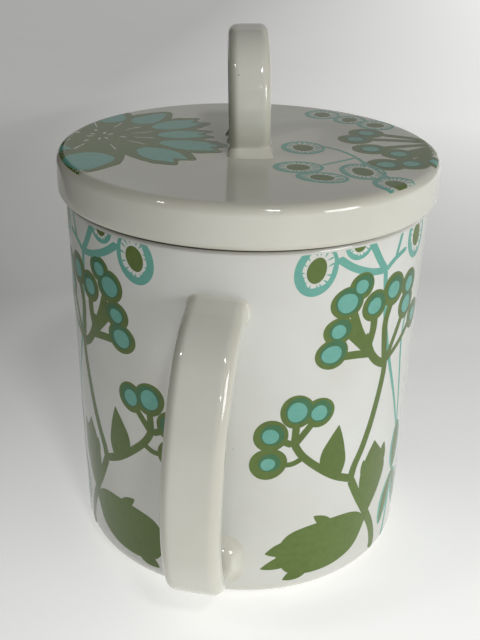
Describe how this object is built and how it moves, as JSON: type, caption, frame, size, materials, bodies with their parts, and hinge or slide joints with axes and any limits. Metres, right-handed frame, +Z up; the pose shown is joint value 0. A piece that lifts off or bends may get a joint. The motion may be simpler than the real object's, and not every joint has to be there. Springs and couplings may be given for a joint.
{
  "type": "butter crock",
  "caption": "Round lidded ceramic crock with a strap handle on its side, a flat thick-rimmed lid and a standing strap loop on the lid.",
  "frame": {"origin": "centre of the plane that the foot ring stands on", "axes": "+Z up along the crock's axis; -Y towards the side handle; +X to the right when the handle is in front"},
  "size_m": [0.12, 0.1476, 0.1718],
  "materials": {
    "crock_glaze": "glossy off-white glaze over fired clay, foot ring wiped bare",
    "lid_glaze": "glossy off-white glaze over fired clay",
    "olive_print": "olive green ceramic transfer under clear glaze",
    "green_print": "dark green ceramic transfer under clear glaze",
    "turquoise_print": "turquoise ceramic transfer under clear glaze"
  },
  "bodies": {
    "crock": {"crock_body": "crock_glaze", "side_handle": "crock_glaze"},
    "lid": {"lid": "lid_glaze", "lid_loop": "lid_glaze"}
  },
  "joints": [
    {"name": "lid_lift", "type": "slide", "parent": "crock", "child": "lid", "axis": [0, 0, 1], "range_m": [0, 0.06]}
  ]
}
